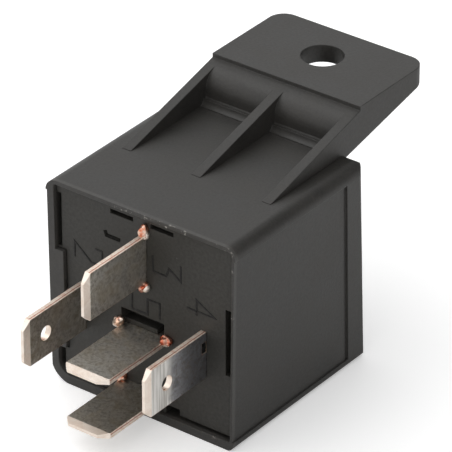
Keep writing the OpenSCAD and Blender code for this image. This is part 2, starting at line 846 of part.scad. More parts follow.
module bobbin() {
    color("#d8d3c4")
        difference() {
            union() {
                flange(bobbin_front_y);
                flange(bobbin_back_y - bobbin_wall);
                bar_y(barrel_r, bobbin_front_y, bobbin_back_y, 0, coil_z);
            }
            bar_y(core_d / 2 + core_clear, bobbin_front_y - 1, bobbin_back_y + 1, 0, coil_z);
        }
}

module coil_winding() {
    color("#a4562c")
        difference() {
            bar_y(winding_r, winding_front_y, winding_back_y, 0, coil_z);
            bar_y(barrel_r, winding_front_y - 1, winding_back_y + 1, 0, coil_z);
        }
}

module coil_tape() {
    color("#b8892f")
        difference() {
            bar_y(winding_r + tape_t, winding_front_y + 0.4, winding_back_y - 0.4, 0, coil_z);
            bar_y(winding_r, winding_front_y - 1, winding_back_y + 1, 0, coil_z);
        }
}

module coil_leads() {
    post_x = coil_blade_pitch / 2 - blade_t / 2 - lead_d / 2;
    start_x = winding_r + tape_t + lead_d / 2;
    color("#a4562c")
        for (s = [-1, 1])
            swept_tube([
                [s * start_x, winding_front_y + 1.2, coil_z],
                [s * (start_x + 0.2), winding_front_y + 0.7, coil_z - 0.8],
                [s * post_x, yoke_y + 2.1, coil_blade_z + 0.9],
                [s * post_x, yoke_y + 1.2, coil_blade_z]
            ], lead_d / 2, 8, [1, 0, 0.2]);
}

// ---------------------------------------------------------------- armature

rivet_x = spring_rivet_pitch / 2;
rivet_z = coil_z + 2;
rivet_clear = 0.02;

module armature() {
    half = yoke_w / 2;
    color("#a4a5a3")
        at_rest()
            difference() {
                union() {
                    span([-half, armature_y, armature_foot_z],
                         [half, armature_y + armature_t, hinge_z]);
                    span([-tail_w / 2, armature_y, hinge_z - eps],
                         [tail_w / 2, armature_y + armature_t, tail_top_z]);
                }
                for (s = [-1, 1])
                    bar_y(spring_rivet_d / 2 + rivet_clear, armature_y - 1,
                        armature_y + armature_t + 1, s * rivet_x, rivet_z);
                bar_y(tail_hole_d / 2, armature_y - 1, armature_y + armature_t + 1,
                    0, spring_z);
            }
}

module contact_spring() {
    y = armature_y + armature_t;
    foot = contact_z - contact_d / 2 - 0.3;
    wide = rivet_x + spring_rivet_d + 0.4;
    color("#b9905a")
        at_rest()
            difference() {
                along_y(y, leaf_t)
                    polygon([
                        [-leaf_w / 2, foot], [leaf_w / 2, foot],
                        [leaf_w / 2, armature_foot_z], [wide, armature_foot_z + 2],
                        [wide, rivet_z + 2], [-wide, rivet_z + 2],
                        [-wide, armature_foot_z + 2], [-leaf_w / 2, armature_foot_z]
                    ]);
                for (s = [-1, 1])
                    bar_y(spring_rivet_d / 2 + rivet_clear, y - 1, y + 1, s * rivet_x, rivet_z);
                bar_y(contact_d / 4, y - 1, y + 1, 0, contact_z);
            }
}

module spring_rivets() {
    y = armature_y + armature_t + leaf_t;
    color("#c4c2bd")
        at_rest()
            for (s = [-1, 1]) {
                bar_y(spring_rivet_d / 2, armature_y, y + eps, s * rivet_x, rivet_z);
                bar_y(spring_rivet_d / 2 + 0.4, y, y + 0.45, s * rivet_x, rivet_z);
            }
}

// A tension spring between the yoke's anchor and the armature's tail
module return_spring() {
    r = (return_coil_d - return_wire_d) / 2;
    y0 = anchor_y + 1.6;
    y1 = armature_y - 1;
    steps = 10;
    turns = [for (i = [0:return_turns * steps])
        let (a = 360 * i / steps)
        [r * sin(a), y0 + (y1 - y0) * i / (return_turns * steps), spring_z - r * cos(a)]];
    front = [[0, anchor_y - 0.35, spring_z - 0.7], [0, anchor_y - 0.35, spring_z - 0.2],
             [0, anchor_y, spring_z], [0, anchor_y + 0.9, spring_z],
             [0, anchor_y + 1.3, spring_z - 0.4]];
    tail_y = armature_y + armature_t + 0.3;
    back = [[0, y1 + 0.35, spring_z - 0.4], [0, y1 + 0.75, spring_z],
            [0, tail_y, spring_z], [0, tail_y + 0.35, spring_z + 0.2],
            [0, tail_y + 0.35, spring_z + 0.6]];
    color("#c4c2bd")
        swept_tube(concat(front, turns, back), return_wire_d / 2, 6, [1, 0.01, 0]);
}

// Copper braid from the yoke's side to the back of the contact spring
module current_braid() {
    r = braid_d / 2;
    braid_gap = 0.06;
    side = yoke_w / 2 + r;
    weld_z = armature_foot_z + 4 * r;
    weld_y = hinge_y + (hinge_z - weld_z) * sin(open_angle)
        + (armature_t + leaf_t + hinge_gap) * cos(open_angle) + r;
    function down(f) = yoke_top_z - f * (yoke_top_z - weld_z);
    function across(f) = rivet_x + f * (yoke_w / 2 - rivet_x);
    color("#b4643c")
        swept_tube(smooth_path([
            [side + braid_gap, armature_y - 10 * r, yoke_top_z - yoke_t / 2],
            [side + braid_gap, armature_y - 5 * r, yoke_top_z - yoke_t / 2],
            [side + r, armature_y, down(0.14)],
            [side + 1.3 * r, weld_y - r / 2, down(0.34)],
            [across(0.81), weld_y + 2 * r, down(0.7)],
            [across(0.24), weld_y + r / 2, down(0.93)],
            [rivet_x - 0.7 * r, weld_y + braid_gap, weld_z]
        ], 4), r, 8, [0.3, 1, 0.2]);
}

module suppression_resistor() {
    y = nc_drop_y + tab_t + 0.2 + resistor_d / 2;
    z = coil_z - pole_d / 2 - 0.6 - 0.25 - resistor_d / 2;
    half = resistor_len / 2;
    post_x = coil_blade_pitch / 2 - blade_t / 2 - 0.25;
    color("#3f6f8f")
        translate([-half, y, z]) rotate([0, 90, 0]) cylinder(d = resistor_d, h = resistor_len);
    color("#c4c2bd")
        for (s = [-1, 1])
            swept_tube([[s * (half - 0.2), y, z], [s * (post_x - 0.6), y, z],
                [s * post_x, y, z + 0.6], [s * post_x, y, coil_blade_z - 0.4]],
                0.25, 8, [0, 1, 0.01]);
}

cover();
cover_bracket();
base();
terminal_common();
terminal_normally_closed();
terminal_normally_open();
terminal_coil_left();
terminal_coil_right();
yoke();
core();
bobbin();
coil_winding();
coil_tape();
coil_leads();
armature();
contact_spring();
spring_rivets();
moving_contact();
fixed_contact_open();
fixed_contact_closed();
return_spring();
current_braid();
suppression_resistor();
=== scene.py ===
"""Studio picture of a plug-in automotive relay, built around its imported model."""

import math

import bmesh
import bpy
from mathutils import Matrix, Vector, noise


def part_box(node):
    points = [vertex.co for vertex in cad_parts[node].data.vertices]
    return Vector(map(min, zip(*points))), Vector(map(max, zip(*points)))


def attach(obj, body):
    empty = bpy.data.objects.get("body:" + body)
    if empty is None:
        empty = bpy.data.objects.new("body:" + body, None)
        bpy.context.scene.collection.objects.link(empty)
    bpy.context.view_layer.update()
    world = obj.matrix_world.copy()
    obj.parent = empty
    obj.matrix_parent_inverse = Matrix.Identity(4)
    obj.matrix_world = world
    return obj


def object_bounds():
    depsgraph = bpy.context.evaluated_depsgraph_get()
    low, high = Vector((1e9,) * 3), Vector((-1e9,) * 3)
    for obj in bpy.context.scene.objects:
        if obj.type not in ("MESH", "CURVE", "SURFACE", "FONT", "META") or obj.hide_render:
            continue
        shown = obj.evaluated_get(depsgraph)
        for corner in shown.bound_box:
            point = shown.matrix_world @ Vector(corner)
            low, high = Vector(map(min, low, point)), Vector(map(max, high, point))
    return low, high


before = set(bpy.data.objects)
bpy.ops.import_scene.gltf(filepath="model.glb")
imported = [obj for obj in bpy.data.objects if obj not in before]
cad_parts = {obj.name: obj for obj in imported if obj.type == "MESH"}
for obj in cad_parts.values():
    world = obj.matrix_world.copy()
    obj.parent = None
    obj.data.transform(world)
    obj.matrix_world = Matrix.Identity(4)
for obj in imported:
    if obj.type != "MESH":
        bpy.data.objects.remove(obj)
cad_low, cad_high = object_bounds()
MM = 0.001
STILL = "relay"


# ------------------------------------------------------------------ node helpers


class Sheet:
    """A node tree with short calls for adding and joining its nodes."""

    def __init__(self, tree):
        self.tree = tree

    def add(self, kind, settings=None, **inputs):
        node = self.tree.nodes.new(kind)
        for key, value in (settings or {}).items():
            setattr(node, key, value)
        for key, value in inputs.items():
            self.put(node, key, value)
        return node

    def put(self, node, key, value):
        name = key.replace("_", " ")
        by_place = key[0] == "i" and key[1:].isdigit()
        socket = node.inputs[int(key[1:])] if by_place else node.inputs[name]
        if isinstance(value, bpy.types.NodeSocket):
            self.tree.links.new(value, socket)
        else:
            socket.default_value = value

    def math(self, operation, a, b=0.0, c=0.0, clamp=False):
        settings = {"operation": operation, "use_clamp": clamp}
        node = self.add("ShaderNodeMath", settings, i0=a, i1=b, i2=c)
        return node.outputs[0]

    def ramp(self, value, low, high, to_low=0.0, to_high=1.0, kind="SMOOTHSTEP"):
        node = self.add(
            "ShaderNodeMapRange",
            {"interpolation_type": kind},
            Value=value, From_Min=low, From_Max=high, To_Min=to_low, To_Max=to_high,
        )
        return node.outputs[0]

    def noise(self, where, scale, detail=3.0, roughness=0.5, distortion=0.0):
        node = self.add(
            "ShaderNodeTexNoise",
            Vector=where, Scale=scale, Detail=detail, Roughness=roughness, Distortion=distortion,
        )
        return node.outputs["Fac"]

    def mix(self, amount, a, b):
        node = self.add("ShaderNodeMix", {"data_type": "RGBA"})
        self.put(node, "i0", amount)
        self.put(node, "i6", a)
        self.put(node, "i7", b)
        return node.outputs[2]

    def vector(self, operation, a, b=(0.0, 0.0, 0.0)):
        node = self.add("ShaderNodeVectorMath", {"operation": operation}, i0=a, i1=b)
        return node.outputs["Value"] if operation in ("DOT_PRODUCT", "LENGTH") else node.outputs[0]

    def group(self, name, **inputs):
        node = self.add("ShaderNodeGroup", {"node_tree": bpy.data.node_groups[name]})
        for key, value in inputs.items():
            self.put(node, key, value)
        return node


def rgb(r, g, b):
    """A colour given as it looks on a screen, 0 to 255."""
    def linear(v):
        v /= 255
        return v / 12.92 if v <= 0.04045 else ((v + 0.055) / 1.055) ** 2.4
    return (linear(r), linear(g), linear(b), 1.0)


def new_group(name, inputs, outputs):
    tree = bpy.data.node_groups.new(name, "ShaderNodeTree")
    for label, kind, value in inputs:
        socket = tree.interface.new_socket(label, in_out="INPUT", socket_type=kind)
        if value is not None:
            socket.default_value = value
    for label, kind in outputs:
        tree.interface.new_socket(label, in_out="OUTPUT", socket_type=kind)
    sheet = Sheet(tree)
    start = tree.nodes.new("NodeGroupInput")
    end = tree.nodes.new("NodeGroupOutput")
    return sheet, start.outputs, end


FLOAT = "NodeSocketFloat"
VECTOR = "NodeSocketVector"


# ------------------------------------------------------------------ shared effects


def build_moulded_grain():
    """Fine spark-eroded grain, with a slow mottle over it."""
    s, given, out = new_group(
        "moulded grain",
        [("Grain Size", FLOAT, 0.25), ("Mottle Size", FLOAT, 4.0)],
        [("Height", FLOAT), ("Tone", FLOAT), ("Mottle", FLOAT)],
    )
    where = s.add("ShaderNodeTexCoord").outputs["Object"]
    fine = s.noise(where, s.math("DIVIDE", 1000.0, given["Grain Size"]), 2.0, 0.6)
    finer = s.noise(where, s.math("DIVIDE", 2600.0, given["Grain Size"]), 1.0, 0.5)
    s.put(out, "Height", s.math("MULTIPLY_ADD", finer, 0.35, s.math("MULTIPLY", fine, 0.65)))
    s.put(out, "Tone", s.ramp(fine, 0.3, 0.7, kind="LINEAR"))
    slow = s.noise(where, s.math("DIVIDE", 1000.0, given["Mottle Size"]), 4.0, 0.6, 0.4)
    s.put(out, "Mottle", s.ramp(slow, 0.3, 0.7))


def build_edge_wear():
    """Worn corners: 1 where the surface bends within the given width, broken up by noise."""
    s, given, out = new_group(
        "edge wear",
        [("Width", FLOAT, 0.0003), ("Break Up", FLOAT, 900.0)],
        [("Edge", FLOAT), ("Worn", FLOAT)],
    )
    where = s.add("ShaderNodeTexCoord").outputs["Object"]
    rounded = s.add("ShaderNodeBevel", {"samples": 6}, Radius=given["Width"])
    true = s.add("ShaderNodeNewGeometry")
    bend = s.vector("DOT_PRODUCT", rounded.outputs[0], true.outputs["Normal"])
    edge = s.ramp(bend, 0.995, 0.86)
    broken = s.ramp(s.noise(where, given["Break Up"], 3.0, 0.65), 0.38, 0.62)
    s.put(out, "Edge", edge)
    s.put(out, "Worn", s.math("MULTIPLY", edge, broken))


def build_soft_edge():
    """The surface's direction with its corners rounded off to the given radius."""
    s, given, out = new_group("soft edge", [("Radius", FLOAT, 0.0001)], [("Direction", VECTOR)])
    rounded = s.add("ShaderNodeBevel", {"samples": 6}, Radius=given["Radius"])
    s.put(out, "Direction", rounded.outputs[0])


def build_dust():
    """Sparse pale specks and short lint."""
    s, given, out = new_group(
        "dust",
        [("Cell Size", FLOAT, 2.2), ("Speck Size", FLOAT, 0.07), ("Amount", FLOAT, 0.35)],
        [("Dust", FLOAT)],
    )
    where = s.add("ShaderNodeTexCoord").outputs["Object"]
    cells = s.add(
        "ShaderNodeTexVoronoi", {"feature": "F1", "voronoi_dimensions": "3D"},
        Vector=where, Scale=s.math("DIVIDE", 1000.0, given["Cell Size"]), Randomness=1.0,
    )
    radius = s.math("DIVIDE", given["Speck Size"], given["Cell Size"])
    near = s.ramp(cells.outputs["Distance"], radius, s.math("MULTIPLY", radius, 0.5))
    parts = s.add("ShaderNodeSeparateColor", None, Color=cells.outputs["Color"])
    chosen = s.math("LESS_THAN", parts.outputs[0], given["Amount"])
    bright = s.math("MULTIPLY_ADD", parts.outputs[1], 0.7, 0.3)
    s.put(out, "Dust", s.math("MULTIPLY", s.math("MULTIPLY", near, chosen), bright))


def build_cut_edge():
    """1 on the sheared edges of a sheet, with the thin line where the shear ended in a tear."""
    s, given, out = new_group(
        "cut edge",
        [("Sheet Axis", VECTOR, (1.0, 0.0, 0.0)), ("Sheet Place", FLOAT, 0.0)],
        [("Cut", FLOAT), ("Tip", FLOAT), ("Tear", FLOAT)],
    )
    normal = s.add("ShaderNodeTexCoord").outputs["Normal"]
    facing = s.math("ABSOLUTE", s.vector("DOT_PRODUCT", normal, given["Sheet Axis"]))
    s.put(out, "Cut", s.ramp(facing, 0.5, 0.25))
    ahead = s.vector("DOT_PRODUCT", normal, (0.0, -1.0, 0.0))
    s.put(out, "Tip", s.ramp(ahead, 0.05, 0.15))
    where = s.add("ShaderNodeTexCoord").outputs["Object"]
    waver = s.math("MULTIPLY", s.math("SUBTRACT", s.noise(where, 500.0, 3.0), 0.5), 0.16 * MM)
    across = s.vector("DOT_PRODUCT", where, given["Sheet Axis"])
    depth = s.math("SUBTRACT", across, given["Sheet Place"])
    off_line = s.math("ABSOLUTE", s.math("ADD", s.math("SUBTRACT", depth, 0.12 * MM), waver))
    s.put(out, "Tear", s.ramp(off_line, 0.09 * MM, 0.03 * MM))


def build_stains():
    """Blotches and fine rolling lines on plated sheet."""
    s, given, out = new_group(
        "stains",
        [("Size", FLOAT, 2.0), ("Line Size", FLOAT, 0.12)],
        [("Blotch", FLOAT), ("Speckle", FLOAT), ("Lines", FLOAT)],
    )
    where = s.add("ShaderNodeTexCoord").outputs["Object"]
    blotch = s.noise(where, s.math("DIVIDE", 1000.0, given["Size"]), 6.0, 0.68, 0.8)
    s.put(out, "Blotch", s.ramp(blotch, 0.36, 0.66))
    speckle = s.noise(where, s.math("DIVIDE", 6000.0, given["Size"]), 3.0, 0.6)
    s.put(out, "Speckle", s.ramp(speckle, 0.42, 0.68))
    drawn = s.add("ShaderNodeMapping", None, Vector=where, Scale=(1.0, 0.04, 1.0))
    fine = s.math("DIVIDE", 1000.0, given["Line Size"])
    s.put(out, "Lines", s.noise(drawn.outputs[0], fine, 2.0, 0.5))


def build_rim_rub():
    """Pale rubbing along the mouth of a moulding: a soft strip, and flecks right of Start."""
    s, given, out = new_group(
        "rim rub",
        [("Mouth", FLOAT, 0.0), ("Reach", FLOAT, 0.0007), ("Start", FLOAT, -0.01)],
        [("Strip", FLOAT), ("Scuff", FLOAT)],
    )
    where = s.add("ShaderNodeTexCoord").outputs["Object"]
    split = s.add("ShaderNodeSeparateXYZ", None, Vector=where)
    behind = s.math("SUBTRACT", split.outputs[1], given["Mouth"])
    near = s.ramp(behind, given["Reach"], s.math("MULTIPLY", given["Reach"], 0.6))
    normal = s.add("ShaderNodeTexCoord").outputs["Normal"]
    outward = s.ramp(s.vector("DOT_PRODUCT", normal, (0.0, -1.0, 0.0)), 0.8, 0.5)
    s.put(out, "Strip", s.math("MULTIPLY", near, outward))
    close = s.ramp(s.math("ABSOLUTE", behind), s.math("MULTIPLY", given["Reach"], 0.45), 0.0)
    flecks = s.ramp(s.noise(where, 1300.0, 4.0, 0.7), 0.57, 0.68)
    patches = s.ramp(s.noise(where, 170.0, 2.0), 0.5, 0.6)
    side = s.ramp(split.outputs[0], given["Start"], s.math("ADD", given["Start"], 4 * MM))
    where_rubbed = s.math("MULTIPLY", close, side)
    s.put(out, "Scuff", s.math("MULTIPLY", where_rubbed, s.math("MULTIPLY", flecks, patches)))


for build in (build_moulded_grain, build_edge_wear, build_soft_edge, build_dust, build_cut_edge,
              build_stains, build_rim_rub):
    build()


# ------------------------------------------------------------------ materials


def new_material(name, **fixed):
    """A material with its Principled shader; constants go straight onto its sockets."""
    made = bpy.data.materials.new(name)
    made.use_nodes = True
    s = Sheet(made.node_tree)
    shader = made.node_tree.nodes["Principled BSDF"]
    for key, value in fixed.items():
        s.put(shader, key, value)
    return made, s, shader


def bump(s, height, strength, distance, corner=0.0):
    """A bumped direction, over corners rounded to a radius where one is given."""
    node = s.add("ShaderNodeBump", None, Height=height, Strength=strength, Distance=distance)
    if corner:
        s.put(node, "Normal", s.group("soft edge", Radius=corner).outputs["Direction"])
    return node.outputs[0]


def moulded_plastic(
        name, dark, light, roughness, grain_size, grain_depth, dust, rub=0.0, shine=0.5):
    """Grained plastic with a slow mottle and specks of dust, rubbed at its mouth where asked."""
    made, s, shader = new_material(name, Specular_IOR_Level=shine, IOR=1.5)
    grain = s.group("moulded grain", Grain_Size=grain_size, Mottle_Size=5.0)
    specks = s.group("dust", Cell_Size=2.4, Speck_Size=0.08, Amount=dust)
    body = s.mix(grain.outputs["Mottle"], dark, light)
    body = s.mix(s.math("MULTIPLY", grain.outputs["Tone"], 0.34), body, rgb(68, 66, 63))
    if rub:
        mouth = s.group("rim rub", Mouth=cad_mouth, Reach=0.7 * MM, Start=-9 * MM)
        strip = s.math("MULTIPLY", mouth.outputs["Strip"], 0.2 * rub)
        scuff = s.math("MULTIPLY", mouth.outputs["Scuff"], rub)
        body = s.mix(strip, body, rgb(120, 118, 114))
        body = s.mix(scuff, body, rgb(190, 186, 178))
    s.put(shader, "Base Color", s.mix(specks.outputs["Dust"], body, rgb(206, 202, 194)))
    rough = s.ramp(grain.outputs["Mottle"], 0.0, 1.0, roughness - 0.03, roughness + 0.04, "LINEAR")
    s.put(shader, "Roughness", s.math("MULTIPLY_ADD", specks.outputs["Dust"], 0.3, rough, True))
    s.put(shader, "Normal", bump(s, grain.outputs["Height"], 0.6, grain_depth, 0.16 * MM))
    return made


def plated_blade(name, axis, place, plate, stain, roughness, painted_sheen_end=None):
    """Tinned brass sheet: stained faces, bare sheared edges with a coppery tear line.

    Where a place along Y is given, the sheet in front of it gets a near-white streaked colour, a
    painted sheen.
    """
    made, s, shader = new_material(name, Specular_IOR_Level=0.5)
    cut = s.group("cut edge", Sheet_Axis=axis, Sheet_Place=place)
    marks = s.group("stains", Size=2.2, Line_Size=0.14)
    wear = s.group("edge wear", Width=0.14 * MM, Break_Up=1500.0)
    dull = s.mix(s.math("MULTIPLY", marks.outputs["Blotch"], 0.85), plate, stain)
    dull = s.mix(s.math("MULTIPLY", marks.outputs["Speckle"], 0.5), dull, rgb(112, 98, 78))
    if painted_sheen_end is not None:
        # Painted sheen: near-white streaks from the tip back to the given place along Y.
        where = s.add("ShaderNodeTexCoord").outputs["Object"]
        waver = s.math("MULTIPLY", s.math("SUBTRACT", s.noise(where, 260.0, 3.0), 0.5), 3.0 * MM)
        y = s.math("ADD", s.add("ShaderNodeSeparateXYZ", None, Vector=where).outputs[1], waver)
        drawn = s.add("ShaderNodeMapping", None, Vector=where, Scale=(1.0, 1.0, 0.06))
        sheen_streak = s.ramp(s.noise(drawn.outputs[0], 2600.0, 2.0), 0.35, 0.65)
        painted_sheen_colour = s.mix(sheen_streak, rgb(252, 249, 244), rgb(206, 201, 194))
        dull = s.mix(s.ramp(y, painted_sheen_end + 0.8 * MM, painted_sheen_end - 0.8 * MM), dull, painted_sheen_colour)
    bare = s.mix(marks.outputs["Speckle"], rgb(250, 238, 226), rgb(238, 208, 190))
    bare = s.mix(cut.outputs["Tear"], bare, rgb(186, 118, 90))
    ends = s.mix(marks.outputs["Blotch"], rgb(255, 243, 231), rgb(240, 223, 208))
    colour = s.mix(s.math("MULTIPLY", wear.outputs["Edge"], 0.5), dull, rgb(232, 190, 164))
    colour = s.mix(cut.outputs["Cut"], colour, bare)
    colour = s.mix(cut.outputs["Tip"], colour, ends)
    s.put(shader, "Base Color", colour)
    s.put(shader, "Metallic", s.ramp(marks.outputs["Blotch"], 0.0, 1.0, 1.0, 0.85, "LINEAR"))
    rough = s.ramp(marks.outputs["Blotch"], 0.0, 1.0, roughness - 0.05, roughness + 0.08, "LINEAR")
    spread = s.ramp(cut.outputs["Tip"], 0.0, 1.0, 0.6, 0.34, "LINEAR")
    cut_share = s.math("MULTIPLY", cut.outputs["Cut"], s.math("SUBTRACT", spread, rough))
    s.put(shader, "Roughness", s.math("ADD", rough, cut_share, clamp=True))
    height = s.math("MULTIPLY_ADD", marks.outputs["Lines"], 0.6, marks.outputs["Speckle"])
    s.put(shader, "Normal", bump(s, height, 0.4, 0.014 * MM, 0.06 * MM))
    return made


def staked_copper(name, skin, under):
    """Metal pushed up by the staking punch: the sheet's own metal shows through torn tin."""
    made, s, shader = new_material(name, Metallic=1.0)
    where = s.add("ShaderNodeTexCoord").outputs["Object"]
    torn = s.ramp(s.noise(where, 1100.0, 3.0, 0.6), 0.42, 0.6)
    deep = s.ramp(s.noise(where, 2300.0, 2.0), 0.5, 0.7)
    colour = s.mix(torn, under, skin)
    s.put(shader, "Base Color", s.mix(s.math("MULTIPLY", deep, 0.6), colour, rgb(170, 74, 50)))
    s.put(shader, "Roughness", s.ramp(torn, 0.0, 1.0, 0.28, 0.45, "LINEAR"))
    s.put(shader, "Normal", bump(s, s.noise(where, 1900.0, 3.0), 0.5, 0.05 * MM))
    return made


def plain_metal(name, colour, tarnish, roughness):
    """Drawn or plated metal with a little tarnish and its edges worn bright."""
    made, s, shader = new_material(name)
    marks = s.group("stains", Size=1.6, Line_Size=0.1)
    wear = s.group("edge wear", Width=0.12 * MM, Break_Up=1500.0)
    body = s.mix(s.math("MULTIPLY", marks.outputs["Blotch"], 0.6), colour, tarnish)
    s.put(shader, "Base Color", s.mix(s.math("MULTIPLY", wear.outputs["Worn"], 0.4), body, colour))
    s.put(shader, "Metallic", 1.0)
    rough = s.ramp(marks.outputs["Speckle"], 0.0, 1.0, roughness, roughness + 0.15, "LINEAR")
    s.put(shader, "Roughness", rough)
    s.put(shader, "Normal", bump(s, marks.outputs["Lines"], 0.3, 0.01 * MM))
    return made


def wound_wire(name):
    """Enamelled wire laid side by side round the bobbin's axis."""
    made, s, shader = new_material(name, Coat_Weight=0.6, Coat_Roughness=0.15)
    where = s.add("ShaderNodeTexCoord").outputs["Object"]
    turns = s.add(
        "ShaderNodeTexWave", {"wave_type": "BANDS", "bands_direction": "Y", "wave_profile": "SIN"},
        Vector=where, Scale=1000.0, Distortion=0.6, Detail=1.0,
    )
    tone = s.noise(where, 900.0)
    s.put(shader, "Base Color", s.mix(tone, rgb(176, 84, 44), rgb(134, 56, 28)))
    s.put(shader, "Metallic", 0.8)
    s.put(shader, "Roughness", s.ramp(tone, 0.2, 0.8, 0.25, 0.4, "LINEAR"))
    s.put(shader, "Normal", bump(s, turns.outputs["Fac"], 0.8, 0.06 * MM))
    return made


def tape_film(name):
    """Amber film tape with a light coat."""
    made, s, shader = new_material(name, Coat_Weight=0.3)
    where = s.add("ShaderNodeTexCoord").outputs["Object"]
    grain = s.group("moulded grain", Grain_Size=0.6, Mottle_Size=3.0)
    amber = s.mix(grain.outputs["Mottle"], rgb(196, 146, 54), rgb(166, 112, 34))
    s.put(shader, "Base Color", amber)
    s.put(shader, "Roughness", s.ramp(s.noise(where, 700.0), 0.2, 0.8, 0.22, 0.36, "LINEAR"))
    s.put(shader, "Normal", bump(s, grain.outputs["Height"], 0.3, 0.02 * MM))
    return made


def woven_copper(name):
    """Two crossing sets of fine copper strands."""
    made, s, shader = new_material(name)
    where = s.add("ShaderNodeTexCoord").outputs["Object"]
    slanted = {"bands_direction": "DIAGONAL"}
    strands = [
        s.add("ShaderNodeTexWave", slanted, Vector=turned.outputs[0], Scale=2400.0)
        for turned in (
            s.add("ShaderNodeMapping", None, Vector=where),
            s.add("ShaderNodeMapping", None, Vector=where, Rotation=(0.0, 0.0, 1.57)),
        )
    ]
    weave = s.math("MAXIMUM", strands[0].outputs["Fac"], strands[1].outputs["Fac"])
    s.put(shader, "Base Color", s.mix(weave, rgb(116, 58, 34), rgb(214, 132, 92)))
    s.put(shader, "Metallic", 1.0)
    s.put(shader, "Roughness", s.ramp(weave, 0.0, 1.0, 0.5, 0.3, "LINEAR"))
    s.put(shader, "Normal", bump(s, weave, 0.8, 0.05 * MM))
    return made


def banded_resistor(name, centre_x, length):
    """Lacquered body with four colour bands along X, bare wires past its ends."""
    made, s, shader = new_material(name, Coat_Weight=0.4)
    where = s.add("ShaderNodeTexCoord").outputs["Object"]
    x = s.add("ShaderNodeSeparateXYZ", None, Vector=where).outputs[0]
    along = s.math("DIVIDE", s.math("SUBTRACT", x, centre_x), length)
    colour = s.mix(s.noise(where, 1500.0), rgb(66, 122, 158), rgb(52, 104, 140))
    for place, tint in ((-0.3, rgb(120, 66, 30)), (-0.12, rgb(20, 20, 20)),
                        (0.06, rgb(196, 96, 30)), (0.3, rgb(190, 150, 60))):
        away = s.math("ABSOLUTE", s.math("SUBTRACT", along, place))
        colour = s.mix(s.ramp(away, 0.05, 0.04), colour, tint)
    wire = s.ramp(s.math("ABSOLUTE", along), 0.5, 0.51)
    s.put(shader, "Base Color", s.mix(wire, colour, rgb(200, 198, 190)))
    s.put(shader, "Metallic", wire)
    s.put(shader, "Roughness", s.ramp(s.noise(where, 800.0), 0.2, 0.8, 0.22, 0.36, "LINEAR"))
    s.put(shader, "Normal", bump(s, s.noise(where, 2500.0), 0.2, 0.01 * MM))
    return made


resistor_low, resistor_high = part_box("suppression_resistor")
resistor_x = (resistor_low.x + resistor_high.x) / 2
cad_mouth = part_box("cover")[0].y
TIN = rgb(222, 218, 210)
TIN_STAIN = rgb(146, 135, 116)
# A darker, bluer plate and stain, used for the right coil blade.
DIM_BLUE_TIN = rgb(178, 178, 182)
DIM_BLUE_STAIN = rgb(110, 109, 112)
X_AXIS = (1.0, 0.0, 0.0)
Z_AXIS = (0.0, 0.0, 1.0)
BEAD_ROOM = -2 * MM  # the staking beads end behind this place along Y
# The painted sheen on the right coil blade reaches back to here along Y.
PAINTED_SHEEN_END = -6.6 * MM
RESISTOR_BODY = 6 * MM


def blade_finish(node, label, axis, roughness, painted_sheen_end=None):
    """The plate of one terminal, whose sheet lies across the given axis."""
    mid = Vector((0.0, 0.0, 0.0))
    for corner in blade_box(node):
        mid += corner / 2
    plate, stain = (TIN, TIN_STAIN) if painted_sheen_end is None else (DIM_BLUE_TIN, DIM_BLUE_STAIN)
    return plated_blade(label, axis, mid.dot(Vector(axis)), plate, stain, roughness, painted_sheen_end)


def blade_box(node):
    """The corners of a terminal's blade, in front of its beads."""
    points = [v.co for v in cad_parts[node].data.vertices if v.co.y < BEAD_ROOM]
    low = Vector(min(p[i] for p in points) for i in range(3))
    high = Vector(max(p[i] for p in points) for i in range(3))
    return low, high


COVER = moulded_plastic(
    "cover plastic", rgb(39, 38, 36), rgb(48, 46, 43), 0.5, 0.34, 0.045 * MM, 0.06, rub=0.8)
BASE = moulded_plastic(
    "base plastic", rgb(28, 27, 22), rgb(35, 33, 28), 0.55, 0.4, 0.02 * MM, 0.18)
# Darker than the base: painted shade along the moulded relief of the terminal numbers.
RELIEF_SHADE = moulded_plastic(
    "numeral relief shade plastic", rgb(9, 9, 9), rgb(12, 12, 12), 0.7, 0.4, 0.01 * MM, 0.0, shine=0.4)
# Near-black plastic with almost no shine: painted shade, used for the dark hollows of the staking
# notches and the deep stroke of numeral 1.
PAINTED_SHADE = moulded_plastic(
    "painted shade plastic", rgb(6, 6, 6), rgb(9, 9, 8), 0.8, 0.4, 0.01 * MM, 0.0, shine=0.05)
STEEL = plain_metal("zinc plated steel", rgb(186, 186, 182), rgb(150, 148, 140), 0.3)
BRIGHT = plain_metal("bright wire", rgb(206, 205, 200), rgb(172, 170, 162), 0.2)
BRONZE = plain_metal("spring bronze", rgb(206, 168, 108), rgb(164, 122, 72), 0.28)
SILVER = plain_metal("contact silver", rgb(226, 222, 212), rgb(186, 176, 158), 0.24)
COPPER = plain_metal("bare copper", rgb(214, 138, 100), rgb(168, 88, 60), 0.3)
NYLON = moulded_plastic(
    "natural nylon", rgb(206, 198, 176), rgb(218, 211, 192), 0.42, 0.4, 0.008 * MM, 0.0)
STAKED = staked_copper("staked copper", rgb(240, 214, 196), rgb(232, 150, 116))
STAKED_RED = staked_copper("staked red copper", rgb(236, 190, 168), rgb(206, 104, 74))
STAKED_PALE = staked_copper("staked tinned copper", rgb(250, 240, 226), rgb(236, 196, 170))

